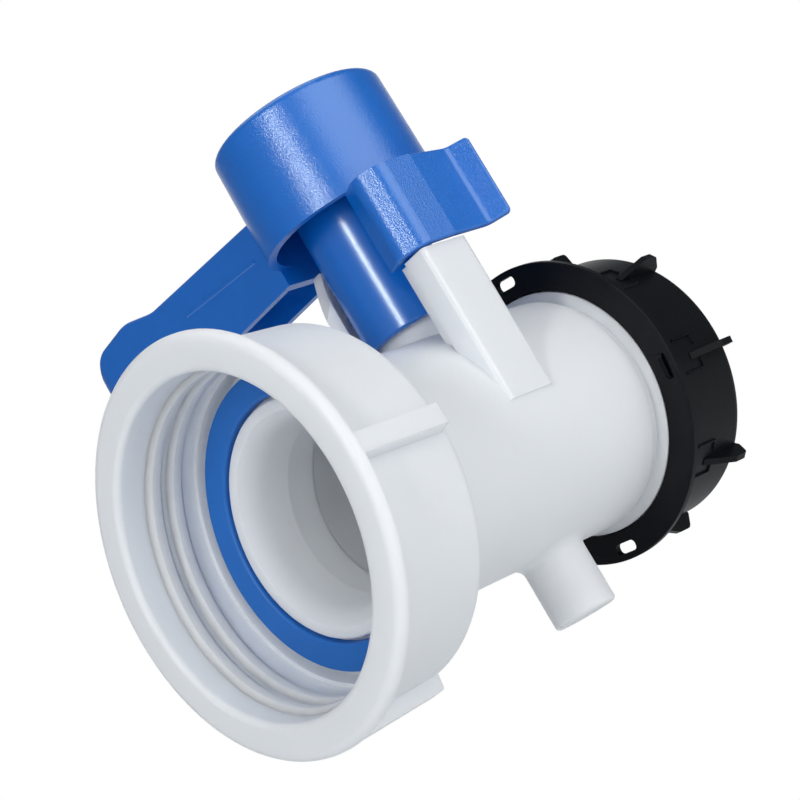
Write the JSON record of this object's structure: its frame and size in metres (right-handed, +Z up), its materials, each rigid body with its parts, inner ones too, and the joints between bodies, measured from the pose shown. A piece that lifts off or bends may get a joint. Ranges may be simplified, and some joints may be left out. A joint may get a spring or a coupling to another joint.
{
  "type": "butterfly drain valve",
  "caption": "Quarter-turn butterfly drain valve for a bulk liquid tank, with a union nut, a swinging lever handle and a capped outlet.",
  "frame": {"origin": "centre of the inlet gasket's front face, on the flow axis", "axes": "+X along the flow towards the capped outlet, +Z up the handle's stem, +Y along the closed lever"},
  "size_m": [0.131, 0.1524, 0.1365],
  "materials": {
    "natural_body": "milky, slightly glossy",
    "blue_handle": "fine grain",
    "blue_gasket": "matt",
    "black_cap": "satin",
    "dark_seal": "matt",
    "soft_liner": "matt",
    "bush_plastic": "smooth",
    "screw_steel": "plain"
  },
  "bodies": {
    "valve": {"valve_body": "natural_body", "inlet_spigot": "natural_body", "spigot_seal": "dark_seal", "inlet_gasket": "blue_gasket", "seat_liner": "soft_liner", "stem_bush_upper": "bush_plastic", "stem_bush_lower": "bush_plastic", "stem_seal_upper": "dark_seal", "stem_seal_lower": "dark_seal"},
    "handle_and_disc": {"handle": "blue_handle", "stem": "natural_body", "butterfly_disc": "natural_body", "disc_screw_upper": "screw_steel", "disc_screw_lower": "screw_steel", "handle_screw": "screw_steel", "screw_washer": "screw_steel", "handle_plug": "blue_handle"},
    "nut": {"union_nut": "natural_body"},
    "liner_carrier": {"cap_liner": "soft_liner"},
    "cap": {"outlet_cap": "black_cap"},
    "ring": {"tamper_ring": "black_cap"}
  },
  "joints": [
    {"name": "handle_turn", "type": "hinge", "parent": "valve", "child": "handle_and_disc", "pos_m": [0.05624, 0, 0], "axis": [0, 0, -1], "range_deg": [0, 90]},
    {"name": "nut_turn", "type": "hinge", "parent": "valve", "child": "nut", "pos_m": [0, 0, 0], "axis": [1, 0, 0], "continuous": true},
    {"name": "cap_lift", "type": "slide", "parent": "valve", "child": "liner_carrier", "axis": [1, 0, 0], "range_m": [0, 0.0241]},
    {"name": "cap_turn", "type": "hinge", "parent": "liner_carrier", "child": "cap", "pos_m": [0.09, 0, 0], "axis": [1, 0, 0], "range_deg": [0, 1440]},
    {"name": "ring_turn", "type": "hinge", "parent": "valve", "child": "ring", "pos_m": [0.085, 0, 0], "axis": [1, 0, 0], "continuous": true}
  ],
  "couplings": [
    {"joint": "cap_lift", "follows": "cap_turn", "m_per_rad": 0.00095493}
  ]
}
